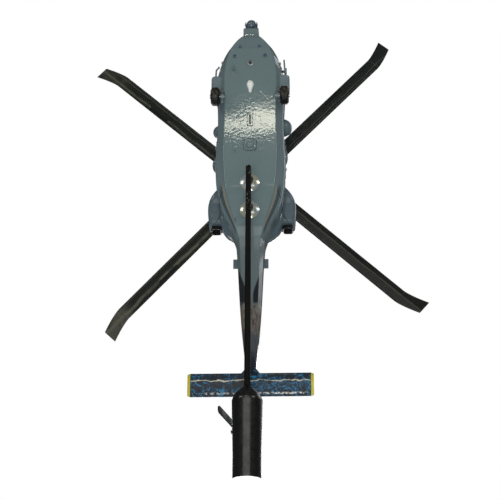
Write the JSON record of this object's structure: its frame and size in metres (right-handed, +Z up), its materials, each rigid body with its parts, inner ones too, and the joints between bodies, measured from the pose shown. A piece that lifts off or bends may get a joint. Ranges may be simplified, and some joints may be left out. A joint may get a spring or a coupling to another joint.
{
  "type": "helicopter scale model",
  "caption": "Desk model of a naval utility helicopter with turning swept-tip rotors, wheels and nose turret, held under its belly by a rod and tube support arm.",
  "frame": {"origin": "centre of the support tube's rear end, where the arm plugs into whatever holds it", "axes": "+X along the tube towards the nose, +Y to port, +Z up"},
  "size_m": [0.4756, 0.3222, 0.1553],
  "materials": {
    "hull_grey": "satin",
    "boom_paint": "gloss",
    "fin_paint": "gloss",
    "stabilator_paint": "gloss",
    "yellow": "satin",
    "dark_glass": "gloss",
    "soot_black": "matte",
    "turret_grey": "gloss",
    "lamp_steel": "satin",
    "white_cover": "satin",
    "wheel_grey": "satin",
    "tyre": "matte",
    "steel": "satin",
    "support_black": "gloss",
    "chrome": "gloss",
    "block_wood": "matte",
    "blade_black": "gloss",
    "hub_black": "satin"
  },
  "bodies": {
    "airframe": {"fuselage_left": "hull_grey", "fuselage_right": "hull_grey", "cabin_door_left": "hull_grey", "cabin_door_right": "hull_grey", "rotor_cowling": "hull_grey", "engine_cowl_left": "hull_grey", "engine_cowl_right": "hull_grey", "exhaust_fairing_left": "hull_grey", "exhaust_fairing_right": "hull_grey", "boom_tabs": "hull_grey", "turret_mount": "hull_grey", "slot_frame": "hull_grey", "belly_hatch": "hull_grey", "belly_antennas": "hull_grey", "nose_probes": "hull_grey", "front_pods": "hull_grey", "aft_pods": "hull_grey", "gear_fairing_left": "hull_grey", "gear_fairing_right": "hull_grey", "main_gear_legs": "hull_grey", "tail_gear_leg": "hull_grey", "tail_boom": "boom_paint", "tail_pylon": "fin_paint", "tail_gearbox": "fin_paint", "stabilator": "stabilator_paint", "stabilator_tips": "yellow", "windscreens": "dark_glass", "side_windows": "dark_glass", "exhaust_ducts": "soot_black", "landing_lamp": "lamp_steel", "belly_dome": "white_cover", "wheel_axles": "steel", "mast_bearing": "steel", "mount_prongs": "steel", "support_tube": "support_black", "support_rod": "support_black", "mount_washers": "chrome", "mount_blocks": "block_wood"},
    "main_rotor": {"rotor_mast": "steel", "rotor_hub": "hub_black", "blade_cuffs": "hub_black", "cuff_bolts": "steel", "rotor_cap": "hub_black", "rotor_blade_1": "blade_black", "rotor_blade_2": "blade_black", "rotor_blade_3": "blade_black", "rotor_blade_4": "blade_black"},
    "tail_rotor": {"tail_shaft": "steel", "tail_blades_inner": "blade_black", "tail_blades_outer": "blade_black", "tail_cap": "hub_black"},
    "wheel_left": {"rim_left": "wheel_grey", "tyre_left": "tyre"},
    "wheel_right": {"rim_right": "wheel_grey", "tyre_right": "tyre"},
    "tail_wheel": {"tail_rim": "wheel_grey", "tail_tyre": "tyre"},
    "turret_pan": {"turret_yoke": "turret_grey"},
    "turret_tilt": {"turret_ball": "turret_grey"}
  },
  "joints": [
    {"name": "main_rotor_spin", "type": "hinge", "parent": "airframe", "child": "main_rotor", "pos_m": [0.3145, 0, 0.101], "axis": [0, 0, 1], "continuous": true},
    {"name": "tail_rotor_spin", "type": "hinge", "parent": "airframe", "child": "tail_rotor", "pos_m": [0.0685, -0.014, 0.105], "axis": [-0.1308, -0.9305, 0.342], "continuous": true},
    {"name": "left_wheel_roll", "type": "hinge", "parent": "airframe", "child": "wheel_left", "pos_m": [0.357, 0.0316, 0.0155], "axis": [0, 1, 0], "continuous": true},
    {"name": "right_wheel_roll", "type": "hinge", "parent": "airframe", "child": "wheel_right", "pos_m": [0.357, -0.0316, 0.0155], "axis": [0, 1, 0], "continuous": true},
    {"name": "tail_wheel_roll", "type": "hinge", "parent": "airframe", "child": "tail_wheel", "pos_m": [0.1485, -0.0001, 0.013], "axis": [0, 1, 0], "continuous": true},
    {"name": "turret_pan_turn", "type": "hinge", "parent": "airframe", "child": "turret_pan", "pos_m": [0.4525, 0, 0.044], "axis": [0, 0, 1], "range_deg": [-120, 120]},
    {"name": "turret_tilt_turn", "type": "hinge", "parent": "turret_pan", "child": "turret_tilt", "pos_m": [0.4525, 0, 0.0386], "axis": [0, 1, 0], "range_deg": [-25, 90]}
  ]
}
